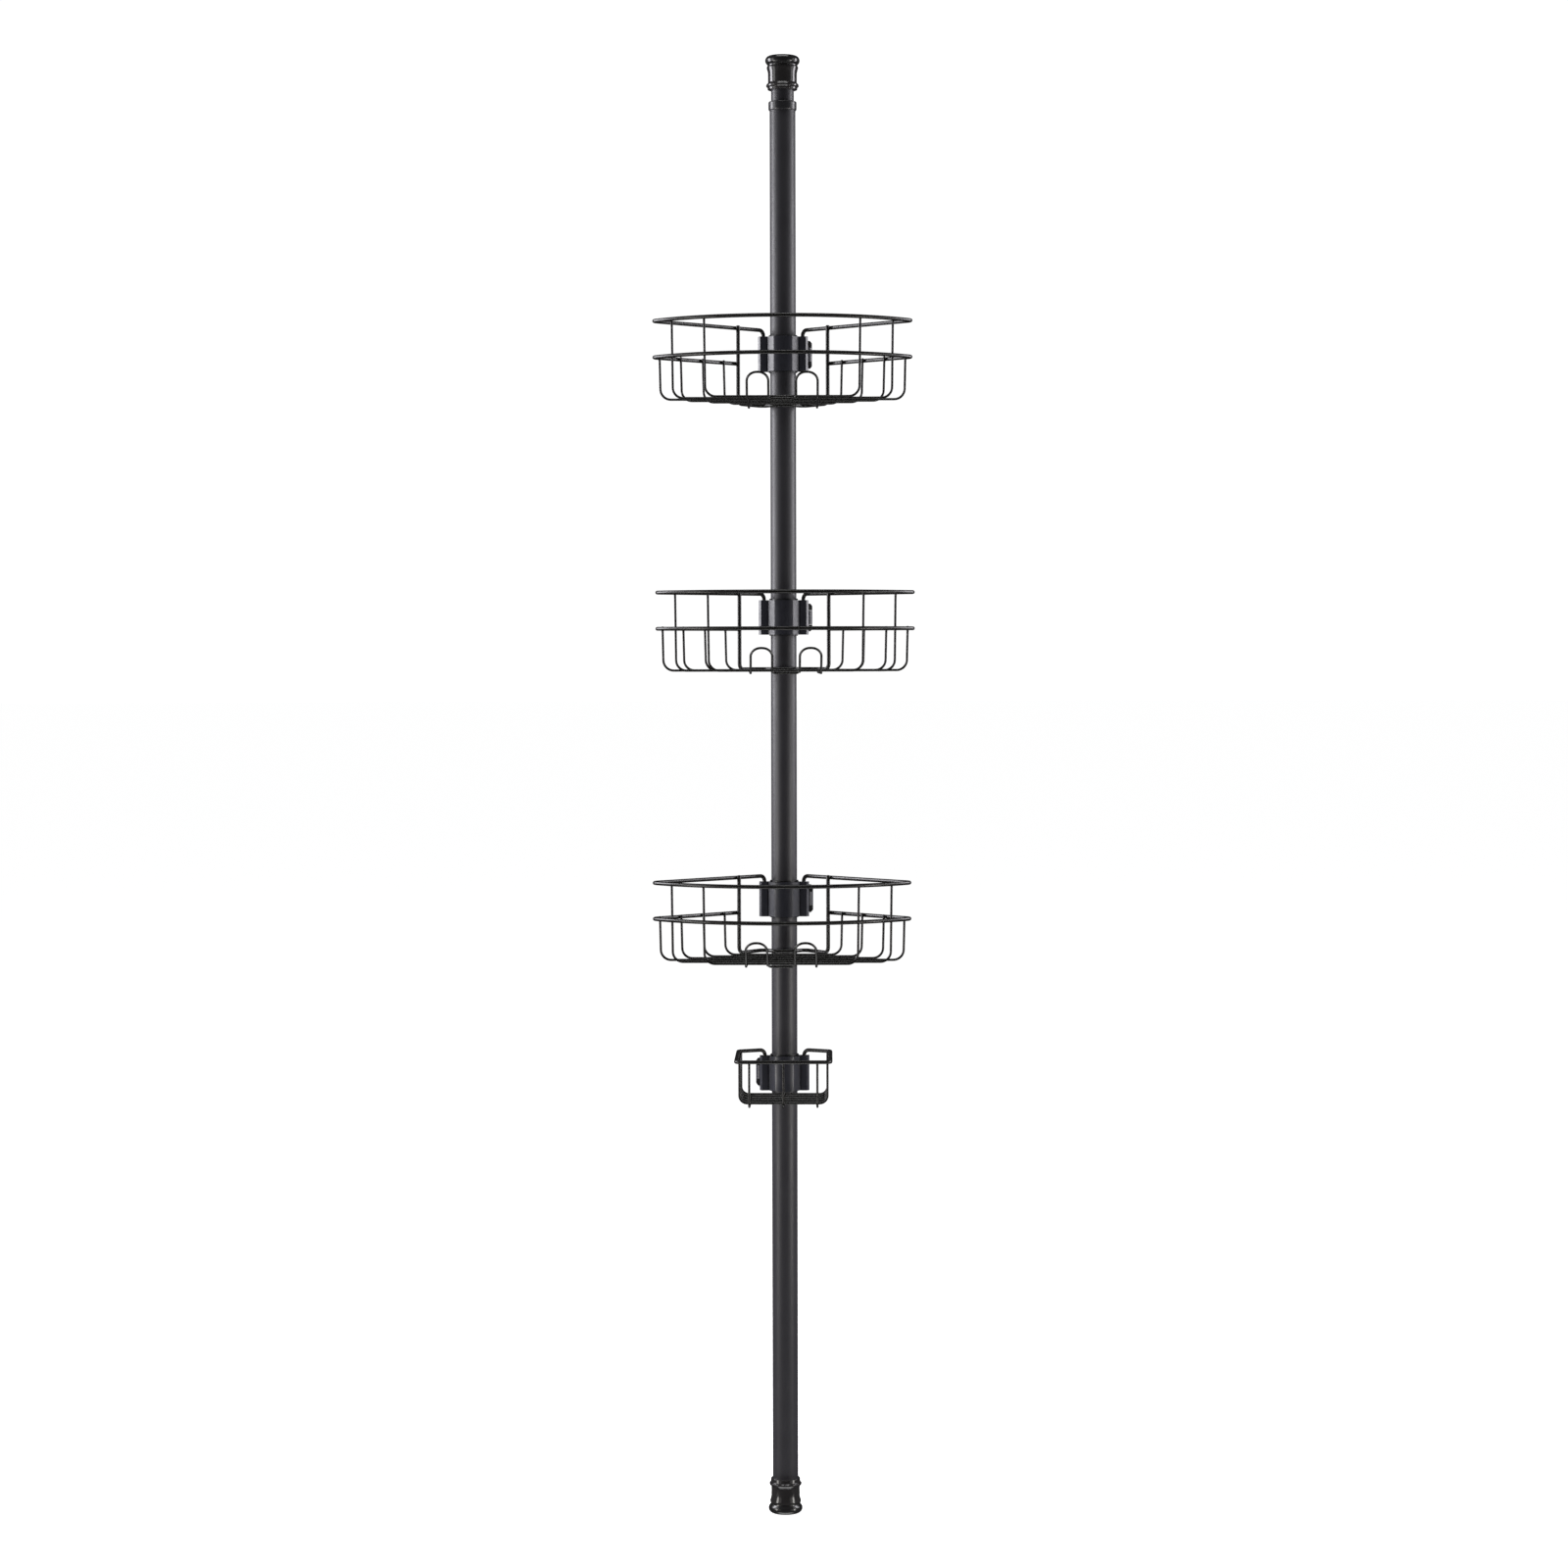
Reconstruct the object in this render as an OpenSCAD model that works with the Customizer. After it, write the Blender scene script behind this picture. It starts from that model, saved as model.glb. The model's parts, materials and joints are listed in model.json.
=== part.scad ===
// Tension-pole corner shower caddy.
// Floor-to-ceiling pole, three corner wire baskets and one soap dish on cam clamps.
// Z is up, the pole axis is X = 0, Y = 0, the floor is Z = 0, the baskets face -Y.

/* [Pole] */
// Overall height with the pole fully collapsed
overall_height = 1526; // [1400:0.1:1700]
// Outer tube diameter
tube_d = 26.8; // [20:0.1:32]
// Outer tube wall
tube_wall = 1.2; // [0.8:0.1:2]
// Inner tube diameter
inner_d = 23.6; // [18:0.1:28]
// Inner tube wall
inner_wall = 1.2; // [0.8:0.1:2]
// Height of the top of the collar on the outer tube
collar_top = 1478.3; // [1400:0.1:1600]
// Collar diameter
collar_d = 29.2; // [27:0.1:34]
// Height of the lower end of the inner tube
inner_bottom = 390; // [300:1:600]

/* [Foot and cap] */
// Radius of the tube centre of the rounded pad edge
pad_ring_r = 12.9; // [8:0.1:14]
// Radius of the rounded pad edge
pad_edge_r = 5; // [3:0.1:8]
// Height of the pad
pad_h = 10.9; // [7:0.1:20]
// Height of the foot together with the pad
foot_h = 37.2; // [34:0.1:50]
// Height of the cap together with the pad
cap_h = 35.4; // [34:0.1:50]

/* [Stations] */
// Height of the lower face of the upper clamp
upper_z = 1198.8; // [1100:0.1:1300]
// Height of the lower face of the middle clamp
middle_z = 924.9; // [800:0.1:1000]
// Height of the lower face of the lower clamp
lower_z = 630.4; // [550:0.1:700]
// Height of the lower face of the dish clamp
dish_z = 447.7; // [400:0.1:520]
// Turn of the upper basket about the pole as set
upper_yaw = -0.3; // [-5:0.05:5]
// Turn of the middle basket about the pole as set
middle_yaw = 0.75; // [-5:0.05:5]
// Turn of the lower basket about the pole as set
lower_yaw = -1.1; // [-5:0.05:5]
// Turn of the soap dish about the pole as set
dish_yaw = -0.7; // [-5:0.05:5]

/* [Clamp] */
// Clamp height
clamp_h = 36; // [30:0.5:45]
// Outer radius of the back half of the clamp sleeve
sleeve_r = 16; // [15:0.1:18]
// Outer radius of the front half of the clamp sleeve
front_sleeve_r = 18.6; // [17:0.1:20]
// Sideways distance where the front curve breaks into the side facets
facet_x = 9.7; // [8:0.1:12]
// Half width over the clamp flanges
flange_x = 26; // [23:0.5:30]
// Sideways distance of the wire sockets from the pole axis
socket_x = 20.5; // [18:0.1:23]
// Forward distance of the wire sockets from the pole axis
socket_f = 6; // [5:0.5:9]
// Forward distance of the front faces of the socket bosses
boss_f = 9.4; // [8:0.1:12]
// Height of the socket floor above the lower face of the clamp
socket_floor = 12; // [6:0.5:20]
// Height of the cam lever
lever_h = 29; // [24:0.5:34]

/* [Baskets] */
// Radius of the rail wire
rail_r = 2; // [1.5:0.05:2.5]
// Radius of the thin wire
thin_r = 1.25; // [0.9:0.05:1.6]
// Height of the top rail above the lower face of the clamp
rail_z = 42.4; // [38:0.1:50]
// Drop from the top rail to the middle rail
rail_drop = 36.6; // [25:0.1:50]
// Height of the floor wires relative to the lower face of the clamp
floor_z = -36.5; // [-60:0.1:-20]
// Radius of the bowed front rail
front_r = 164; // [120:1:260]
// Forward distance of the front of the basket from the pole axis
front_f = 185; // [150:1:220]
// Bend radius of the end corners
corner_r = 9; // [5:0.5:20]
// Bend radius of the floor wires
floor_bend = 10.5; // [5:0.5:16]
// Forward position of hook tops
hook_top_f = 183.5; // [170:1:195]

/* [Soap dish] */
// Half width of the rim between wire centres
dish_x = 48.2; // [40:0.1:60]
// Forward distance of the front rim wire
dish_f = 121; // [90:1:140]
// Forward distance of the rear corners of the rim
dish_rear_f = 20; // [12:0.5:30]
// Floor of the soap dish relative to the lower face of the clamp
dish_floor = -1.7; // [-12:0.1:6]

/* [Hidden] */
$fn = 40;
tr = tube_d / 2;
ti = tr - tube_wall;
ir = inner_d / 2;
ii = ir - inner_wall;
mid_z = rail_z - rail_drop;
run_c = socket_x - socket_f;
front_c = front_f - front_r;
// Corner arc touching the 45 degree run and the bowed front.
corner_k = corner_r * sqrt(2) - run_c - front_c;
corner_x = (-corner_k + sqrt(2 * pow(front_r - corner_r, 2) - corner_k * corner_k)) / 2;
corner_f = corner_x - run_c + corner_r * sqrt(2);
corner_a = atan2(corner_f - front_c, corner_x);
spring_turns = 9;
spring_wire = 0.75;
seat_z = 1412;
seat_h = 6;
pocket_h = 24.5;
spring_h = overall_height - pocket_h - seat_z - seat_h - 2 * spring_wire - 0.3;
// Half widths of the saddle wire and of the inner front floor wire.
saddle_w = 46.2;
front_w = 78;
pin_x = 25.2;
pin_y = 7.5;
liner_r = 14.6;
screw_x = 17.8;

// ---------------------------------------------------------------- helpers

function unit(v) = v / norm(v);
function tangent(p, q, s, rb) =
  rb / tan(acos(max(-1, min(1, unit(p - q) * unit(s - q)))) / 2);

module along(p, d) {
  translate(p)
    rotate([0, acos(max(-1, min(1, d[2] / norm(d)))), atan2(d[1], d[0])])
      children();
}

// Hair-thin band over the seam between two lengths of one wire.
module seam(p, d, r) {
  along(p, d)
    translate([0, 0, -0.15])
      cylinder(h = 0.3, r = r + 0.04);
}

module straight(a, b, r) {
  along(a, b - a)
    cylinder(h = norm(b - a), r = r);
}

module bend(p, q, s, rb, r) {
  u = unit(p - q);
  v = unit(s - q);
  half = acos(max(-1, min(1, u * v))) / 2;
  t = rb / tan(half);
  c = q + unit(u + v) * rb / sin(half);
  e1 = unit(q + u * t - c);
  e2 = -u;
  n = cross(e1, e2);
  multmatrix([
    [e1[0], e2[0], n[0], c[0]],
    [e1[1], e2[1], n[1], c[1]],
    [e1[2], e2[2], n[2], c[2]],
    [0, 0, 0, 1]
  ])
    rotate_extrude(angle = 180 - 2 * half, $fn = 72)
      translate([rb, 0])
        circle(r = r, $fn = 40);
  seam(q + u * t, u, r);
  seam(q + v * t, v, r);
}

// One wire through a list of corner points, each inner corner bent to its own radius.
module wire(pts, rb, r) {
  n = len(pts);
  for (i = [0:n - 2]) {
    d = unit(pts[i + 1] - pts[i]);
    a = i == 0 ? 0 : tangent(pts[i - 1], pts[i], pts[i + 1], rb[i]);
    b = i == n - 2 ? 0 : tangent(pts[i], pts[i + 1], pts[i + 2], rb[i + 1]);
    straight(pts[i] + d * a, pts[i + 1] - d * b, r);
  }
  for (i = [1:n - 2])
    bend(pts[i - 1], pts[i], pts[i + 1], rb[i], r);
}

// Flat arc of wire about a centre, angles measured from +X.
module arc(x, y, z, rc, a, b, r) {
  translate([x, y, z])
    rotate([0, 0, a])
      rotate_extrude(angle = b - a, $fn = 180)
        translate([rc, 0])
          circle(r = r, $fn = 40);
}

module ring(r1, r0, z0, z1) {
  translate([0, 0, z0])
    difference() {
      cylinder(h = z1 - z0, r = r1, $fn = 96);
      translate([0, 0, -1])
        cylinder(h = z1 - z0 + 2, r = r0, $fn = 96);
    }
}

module block(x0, x1, y0, y1, z0, z1) {
  translate([x0, y0, z0])
    cube([x1 - x0, y1 - y0, z1 - z0]);
}

module at_upper() {
  translate([0, 0, upper_z])
    rotate([0, 0, upper_yaw])
      children();
}

module at_middle() {
  translate([0, 0, middle_z])
    rotate([0, 0, middle_yaw])
      children();
}

module at_lower() {
  translate([0, 0, lower_z])
    rotate([0, 0, lower_yaw])
      children();
}

module at_dish() {
  translate([0, 0, dish_z])
    rotate([0, 0, dish_yaw])
      children();
}

// ---------------------------------------------------------------- pole

// Rounded rubber pad, face at z = 0.
module pad() {
  difference() {
    union() {
      cylinder(h = pad_h, r = pad_ring_r, $fn = 96);
      translate([0, 0, pad_edge_r + 0.2])
        rotate_extrude($fn = 96)
          translate([pad_ring_r, 0])
            circle(r = pad_edge_r);
      translate([0, 0, pad_edge_r])
        cylinder(h = pad_h - pad_edge_r, r = pad_ring_r + 2.7, $fn = 96);
    }
    translate([0, 0, -0.2])
      ring(9.4, 8.6, 0, 1);
    translate([0, 0, -0.2])
      ring(5.9, 5.1, 0, 1);
    translate([0, 0, pad_h - 5])
      cylinder(h = 8, r = 8);
    translate([0, 0, -30])
      cylinder(h = 30, r = 30);
    translate([0, 0, pad_h])
      cylinder(h = 30, r = 30);
  }
}

// Plastic end cup on the pad, face at z = pad_h, bore from the far end.
module cup(bore, end_h) {
  difference() {
    union() {
      rotate_extrude($fn = 96)
        polygon([
          [0, pad_h], [15.7, pad_h], [16.3, pad_h + 0.8], [16.3, pad_h + 2],
          [15, pad_h + 7], [15, pad_h + 17.4], [16.9, pad_h + 19.2],
          [16.9, pad_h + 21.2], [15.4, pad_h + 22.4], [15.4, end_h - 0.6],
          [14.9, end_h], [0, end_h]
        ]);
      translate([0, 0, pad_h - 4.8])
        cylinder(h = 6, r = 7.95);
    }
    translate([0, 0, pad_h + 2])
      cylinder(h = 60, r = bore, $fn = 96);
  }
}

module foot_pad() {
  color("#141416")
    pad();
}

module foot_socket() {
  color("#18181b")
    cup(tr + 0.02, foot_h);
}

module outer_tube() {
  color("#2c2c30")
    ring(tr, ti, pad_h + 2, collar_top - 2);
}

module tube_collar() {
  color("#1d1d20")
    difference() {
      union() {
        ring(collar_d / 2, ir + 0.1, collar_top - 8, collar_top - 0.5);
        ring(collar_d / 2 - 0.5, ir + 0.1, collar_top - 9, collar_top);
      }
      translate([0, 0, collar_top - 12])
        cylinder(h = 10, r = tr + 0.02, $fn = 96);
    }
}

module lock_sleeve() {
  color("#e4e2dc")
    difference() {
      ring(ti - 0.1, 8.05, inner_bottom - 30, inner_bottom - 6);
      block(-20, 20, -0.8, 0.8, inner_bottom - 31, inner_bottom - 14);
      block(-0.8, 0.8, -20, 20, inner_bottom - 22, inner_bottom - 5);
    }
}

module lock_core() {
  color("#c9c7c0")
    difference() {
      union() {
        translate([0, 0, inner_bottom - 29.6])
          cylinder(h = 24, r = 8);
        translate([0, 0, inner_bottom - 5.7])
          cylinder(h = 5.7, r = 11.2, $fn = 96);
        translate([0, 0, inner_bottom - 1])
          cylinder(h = 21, r = ii - 0.03, $fn = 96);
      }
      translate([0, 0, inner_bottom - 40])
        cylinder(h = 28, r = 2.05);
      for (a = [0:60:300])
        rotate([0, 0, a])
          block(7.5, 12, -1.2, 1.2, inner_bottom + 2, inner_bottom + 25);
    }
}

module lock_screw() {
  color("#b9bbbf")
    difference() {
      union() {
        translate([0, 0, inner_bottom - 33.2])
          cylinder(h = 21, r = 2);
        translate([0, 0, inner_bottom - 33.2])
          cylinder(h = 3, r = 10.4);
        translate([0, 0, inner_bottom - 35.6])
          cylinder(h = 2.6, r = 4.2);
      }
      block(-3, 3, -0.6, 0.6, inner_bottom - 37, inner_bottom - 34.4);
      block(-0.6, 0.6, -3, 3, inner_bottom - 37, inner_bottom - 34.4);
    }
}

module inner_tube() {
  color("#3a3a3e")
    ring(ir, ii, inner_bottom, overall_height - 28);
}

module spring_seat() {
  color("#b9bbbf")
    difference() {
      union() {
        translate([0, 0, seat_z])
          cylinder(h = seat_h, r = ii - 0.03, $fn = 96);
        translate([0, 0, seat_z])
          cylinder(h = 2 * seat_h, r = 5.2);
      }
      translate([0, 0, seat_z - 10])
        cylinder(h = 30, r = 3);
    }
}

// Round wire wound into a helix, swept ring by ring.
module coil(rc, rw, h, turns) {
  sides = 8;
  n = turns * 18;
  rings = [
    for (i = [0:n], j = [0:sides - 1])
      let (
        a = 360 * turns * i / n,
        b = -360 * j / sides,
        rr = rc + rw * cos(b)
      )
      [rr * cos(a), rr * sin(a), h * i / n + rw * sin(b)]
  ];
  sides_faces = [
    for (i = [0:n - 1], j = [0:sides - 1])
      [
        i * sides + j, i * sides + (j + 1) % sides,
        (i + 1) * sides + (j + 1) % sides, (i + 1) * sides + j
      ]
  ];
  start = [for (j = [sides - 1:-1:0]) j];
  finish = [for (j = [0:sides - 1]) n * sides + j];
  polyhedron(points = rings, faces = concat([start], sides_faces, [finish]), convexity = 12);
}

// Compression spring between the seat and the cap.
module cap_spring() {
  color("#a9abaf")
    translate([0, 0, seat_z + seat_h + spring_wire + 0.15])
      coil(6.6, spring_wire, spring_h, spring_turns);
}

module cap_socket() {
  color("#18181b")
    translate([0, 0, overall_height])
      rotate([180, 0, 0])
        union() {
          cup(ir + 0.1, cap_h);
          difference() {
            translate([0, 0, pad_h + 1])
              cylinder(h = 58, r = ii - 0.1, $fn = 96);
            translate([0, 0, pocket_h])
              cylinder(h = 60, r = 8);
          }
        }
}

module top_pad() {
  color("#141416")
    translate([0, 0, overall_height])
      rotate([180, 0, 0])
        pad();
}

// ---------------------------------------------------------------- clamp

// Split grip sleeve with an end lip above and below the clamp shells.
module liner() {
  color("#1b1b1d")
    difference() {
      union() {
        ring(liner_r, tr + 0.05, -1.1, clamp_h + 1.6);
        ring(14.9, tr + 0.05, clamp_h + 0.35, clamp_h + 1.6);
        ring(14.9, tr + 0.05, -1.1, -0.35);
      }
      block(-1, 1, 5, 20, -5, clamp_h + 5);
    }
}

module clamp_front() {
  color("#2b2b2f")
    difference() {
      union() {
        intersection() {
          cylinder(h = clamp_h, r = front_sleeve_r, $fn = 96);
          facet_block();
        }
        for (s = [-1, 1])
          scale([s, 1, 1]) {
            block(14.9, flange_x, -3.2, -0.2, 0, clamp_h);
            socket_boss();
          }
        block(20.2, 24.7, -3, 7.5, 10.8, 25.2);
        translate([pin_x, pin_y, 10.8])
          cylinder(h = 14.4, r = 5);
      }
      translate([0, 0, -1])
        cylinder(h = clamp_h + 2, r = liner_r + 0.05, $fn = 96);
      for (s = [-1, 1])
        translate([s * socket_x, -socket_f, socket_floor])
          cylinder(h = clamp_h, r = rail_r + 0.08);
      for (s = [-1, 1])
        translate([s * socket_x, -socket_f, clamp_h - 0.6])
          cylinder(h = 1, r1 = rail_r + 0.08, r2 = rail_r + 1.08);
      translate([pin_x, pin_y, 0])
        cylinder(h = 40, r = 1.3);
      for (z = [9, 27])
        translate([-screw_x, -3, z])
          rotate([-90, 0, 0])
            cylinder(h = 10, r = 1.45);
    }
}

// Keeps the curved front of the sleeve and cuts a flat facet on each side of it.
module facet_block() {
  facet_y = -sqrt(pow(front_sleeve_r, 2) - facet_x * facet_x);
  meet_x = 16.2;
  meet_y = -sqrt(pow(front_sleeve_r, 2) - meet_x * meet_x);
  translate([0, 0, -1])
    linear_extrude(height = clamp_h + 2)
      polygon([
        [-20, -0.2], [-20, meet_y], [-meet_x, meet_y], [-facet_x, facet_y],
        [-facet_x, -20], [facet_x, -20], [facet_x, facet_y], [meet_x, meet_y],
        [20, meet_y], [20, -0.2]
      ]);
}

// Upright boss that holds one end of the rail, its front edges chamfered.
module socket_boss() {
  linear_extrude(height = clamp_h)
    polygon([
      [16.6, -0.2], [16.6, 0.7 - boss_f], [17.3, -boss_f], [flange_x - 2.3, -boss_f],
      [flange_x, 2.6 - boss_f], [flange_x, -0.2]
    ]);
}

module clamp_back() {
  color("#26262a")
    difference() {
      union() {
        intersection() {
          cylinder(h = clamp_h, r = sleeve_r, $fn = 96);
          block(-20, 20, 0.2, 20, -1, clamp_h + 1);
        }
        block(-flange_x, -14.9, 0.2, 4.6, 0, clamp_h);
        block(14.9, flange_x, 0.2, 2.2, 0, clamp_h);
        for (z = [5, 17, 29])
          block(-19, -13, 0.2, 9.5, z - 0.8, z + 0.8);
      }
      translate([0, 0, -1])
        cylinder(h = clamp_h + 2, r = liner_r + 0.05, $fn = 96);
      block(19.8, 30, -1, 4, 10.4, 25.6);
      for (z = [9, 27])
        translate([-screw_x, -1, z])
          rotate([-90, 0, 0])
            cylinder(h = 12, r = 1.55);
      for (z = [9, 27])
        translate([-screw_x, 4.6, z])
          rotate([-90, 0, 0])
            cylinder(h = 12, r = 3.1);
    }
}

module clamp_screws() {
  color("#8f9094")
    for (z = [9, 27])
      translate([-screw_x, 0, z])
        rotate([-90, 0, 0])
          difference() {
            union() {
              translate([0, 0, -2.9])
                cylinder(h = 8.3, r = 1.4);
              translate([0, 0, 4.65])
                cylinder(h = 1.4, r = 2.8);
              translate([0, 0, 6.05])
                cylinder(h = 0.7, r1 = 2.8, r2 = 1.9);
            }
            block(-1.7, 1.7, -0.35, 0.35, 5.6, 8);
            block(-0.35, 0.35, -1.7, 1.7, 5.6, 8);
          }
}

// Cam lever on a vertical pin, arm wrapped round the back of the clamp.
module lever() {
  color("#1a1a1c")
    difference() {
      union() {
        translate([pin_x, pin_y, 3.5])
          knuckle();
        translate([pin_x, pin_y, 32.5])
          mirror([0, 0, 1])
            knuckle();
        translate([0, 0, 3.5])
          lever_arm();
      }
      translate([pin_x, pin_y, 0])
        cylinder(h = 40, r = 1.3);
      translate([pin_x, pin_y, 10.5])
        cylinder(h = 15, r = 5.8);
    }
}

// Round end of the lever with its outer edge chamfered.
module knuckle() {
  cylinder(h = 2.5, r1 = 3, r2 = 5);
  translate([0, 0, 2.5])
    cylinder(h = 4.5, r = 5);
}

// Curved arm, flared tip and the flat web that joins them to the knuckles.
module lever_arm() {
  difference() {
    union() {
      rotate([0, 0, 38])
        ring_part(19.5, 16.7, 94);
      rotate([0, 0, 131])
        translate([16.9, -0.6, 0])
          rotate([0, 0, -18])
            cube([2.6, 7.6, lever_h]);
      translate([pin_x, pin_y, 0])
        rotate([0, 0, 158])
          translate([2, -3.4, 0])
            cube([9.8, 4, lever_h]);
    }
    for (a = [112, 118, 124])
      rotate([0, 0, a])
        translate([20.1, 0, -1])
          cylinder(h = 40, r = 1);
  }
}

// Part of a ring, from the local X axis round by an angle below 180.
module ring_part(r1, r0, angle) {
  rotate_extrude(angle = angle, $fn = 96)
    translate([r0, 0])
      square([r1 - r0, lever_h]);
}

module lever_pin() {
  color("#b4b6ba")
    union() {
      translate([pin_x, pin_y, 3.2])
        cylinder(h = 29.6, r = 1.25);
      translate([pin_x, pin_y, 2.4])
        cylinder(h = 1, r = 2.1);
    }
}

// ---------------------------------------------------------------- basket

// Plan outline shared by the two rails, from one rear run round to the other.
module rail_plan(z) {
  for (s = [-1, 1])
    scale([s, 1, 1]) {
      translate([corner_x, -corner_f, z])
        rotate([0, 0, -corner_a])
          rotate_extrude(angle = corner_a + 45, $fn = 96)
            translate([corner_r, 0])
              circle(r = rail_r, $fn = 40);
      seam(
        [corner_x + corner_r / sqrt(2), corner_r / sqrt(2) - corner_f, z],
        [1, -1, 0], rail_r
      );
      seam(
        [front_r * cos(corner_a), -front_c - front_r * sin(corner_a), z],
        [sin(corner_a), cos(corner_a), 0], rail_r
      );
    }
  arc(0, -front_c, z, front_r, corner_a - 180, -corner_a, rail_r);
}

module top_rail() {
  color("#1c1b1b") {
    rail_plan(rail_z);
    for (s = [-1, 1])
      scale([s, 1, 1])
        wire(
          [
            [socket_x, -socket_f, socket_floor + 0.05],
            [socket_x, -socket_f, rail_z],
            [corner_x + corner_r / sqrt(2), corner_r / sqrt(2) - corner_f, rail_z]
          ],
          [0, 5.6, 0], rail_r
        );
  }
}

// Rear ends of the middle rail stop against the saddle wire legs.
module mid_rail() {
  color("#1c1b1b") {
    rail_plan(mid_z);
    for (s = [-1, 1])
      scale([s, 1, 1])
        straight(
          [saddle_w, run_c - saddle_w, mid_z],
          [corner_x + corner_r / sqrt(2), corner_r / sqrt(2) - corner_f, mid_z],
          rail_r
        );
  }
}

module u_wire(w, f, top) {
  wire(
    [
      [-w, -f, top], [1 - w, -f, floor_z],
      [w - 1, -f, floor_z], [w, -f, top]
    ],
    [0, floor_bend, floor_bend, 0], thin_r
  );
}

// Distance in from a rail centre to a thin wire lying against it.
function inner_f(w) =
  front_c + sqrt(pow(front_r - rail_r - thin_r + 0.04, 2) - w * w);

// Front floor wires: they rise past the middle rail to the top rail.
module front_wires() {
  color("#1a1919")
    for (w = [front_w, 111.1])
      u_wire(w, inner_f(w), rail_z + 1);
}

// Rear floor wires: they rise to the straight runs of the middle rail.
module rear_wires() {
  color("#1a1919")
    for (w = [124.3, 103.5, 81.7, 60.8])
      u_wire(w, w - run_c + (rail_r + thin_r - 0.04) * sqrt(2), mid_z + 2.4);
}

// Heavy rear wire: legs from the top rail, floor run saddled round the pole.
module saddle_wire() {
  w = saddle_w;
  f = w - run_c + (2 * rail_r - 0.04) * sqrt(2);
  z = floor_z + rail_r - thin_r;
  color("#1a1919")
    wire(
      [
        [-w, -f, rail_z + 2.6], [-w, -f, z],
        [-21.5, -1.5, z], [-10, -16, z], [10, -16, z], [21.5, -1.5, z],
        [w, -f, z], [w, -f, rail_z + 2.6]
      ],
      [0, 6, 6, 8, 8, 6, 6, 0], rail_r
    );
}

// Thin wire bent into two cloth hooks, its tails run back under the floor.
module hook_wire() {
  xo = 35.3;
  xi = 13.8;
  zb = floor_z - 2 * thin_r + 0.04;
  ff = inner_f(front_w) + 2 * thin_r - 0.04;
  zt = floor_z + 22.6;
  color("#1a1919")
    wire(
      [
        [-xo, -27, zb], [-xo, -ff - 2, zb], [-xo, -hook_top_f, zt],
        [-xi, -hook_top_f, zt], [-xi, -ff - 2, zb], [xi, -ff - 2, zb],
        [xi, -hook_top_f, zt], [xo, -hook_top_f, zt], [xo, -ff - 2, zb],
        [xo, -27, zb]
      ],
      [0, 4, 10.2, 10.2, 4, 4, 10.2, 10.2, 4, 0], thin_r
    );
}

// ---------------------------------------------------------------- soap dish

module dish_rim() {
  color("#1c1b1b")
    wire(
      [
        [-socket_x, -socket_f, socket_floor + 0.05], [-socket_x, -socket_f, rail_z],
        [-dish_x, -dish_rear_f, rail_z], [-dish_x, -dish_f, rail_z],
        [dish_x, -dish_f, rail_z], [dish_x, -dish_rear_f, rail_z],
        [socket_x, -socket_f, rail_z], [socket_x, -socket_f, socket_floor + 0.05]
      ],
      [0, 5.6, 6, 6, 6, 6, 5.6, 0], rail_r
    );
}

module dish_floor_wires() {
  w = dish_x - rail_r - thin_r + 0.04;
  color("#1a1919")
    for (f = [26:19.5:104])
      wire(
        [
          [-w, -f, rail_z + 1.2], [-w, -f, dish_floor],
          [w, -f, dish_floor], [w, -f, rail_z + 1.2]
        ],
        [0, 8, 8, 0], thin_r
      );
}

module dish_front_wires() {
  f = dish_f - rail_r - thin_r + 0.04;
  z = dish_floor - 2 * thin_r + 0.04;
  color("#1a1919")
    for (x = [-34.7, 0, 34.7])
      wire(
        [[x, -f, rail_z + 1.2], [x, -f, z], [x, -22.6, z]],
        [0, 5, 0], thin_r
      );
}

// ---------------------------------------------------------------- assembly

foot_pad();
foot_socket();
outer_tube();
tube_collar();
lock_sleeve();
lock_core();
lock_screw();
inner_tube();
spring_seat();
cap_spring();
cap_socket();
top_pad();

at_upper() liner();  // upper_liner
at_upper() clamp_front();  // upper_clamp_front
at_upper() clamp_back();  // upper_clamp_back
at_upper() clamp_screws();  // upper_clamp_screws
at_upper() lever();  // upper_lever
at_upper() lever_pin();  // upper_lever_pin

at_middle() liner();  // middle_liner
at_middle() clamp_front();  // middle_clamp_front
at_middle() clamp_back();  // middle_clamp_back
at_middle() clamp_screws();  // middle_clamp_screws
at_middle() lever();  // middle_lever
at_middle() lever_pin();  // middle_lever_pin

at_lower() liner();  // lower_liner
at_lower() clamp_front();  // lower_clamp_front
at_lower() clamp_back();  // lower_clamp_back
at_lower() clamp_screws();  // lower_clamp_screws
at_lower() lever();  // lower_lever
at_lower() lever_pin();  // lower_lever_pin

at_dish() liner();  // dish_liner
at_dish() scale([-1, 1, 1]) clamp_front();  // dish_clamp_front
at_dish() scale([-1, 1, 1]) clamp_back();  // dish_clamp_back
at_dish() scale([-1, 1, 1]) clamp_screws();  // dish_clamp_screws
at_dish() scale([-1, 1, 1]) lever();  // dish_lever
at_dish() scale([-1, 1, 1]) lever_pin();  // dish_lever_pin

at_upper() top_rail();  // upper_top_rail
at_upper() mid_rail();  // upper_mid_rail
at_upper() front_wires();  // upper_front_wires
at_upper() rear_wires();  // upper_rear_wires
at_upper() saddle_wire();  // upper_saddle_wire
at_upper() hook_wire();  // upper_hook_wire

at_middle() top_rail();  // middle_top_rail
at_middle() mid_rail();  // middle_mid_rail
at_middle() front_wires();  // middle_front_wires
at_middle() rear_wires();  // middle_rear_wires
at_middle() saddle_wire();  // middle_saddle_wire
at_middle() hook_wire();  // middle_hook_wire

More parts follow.
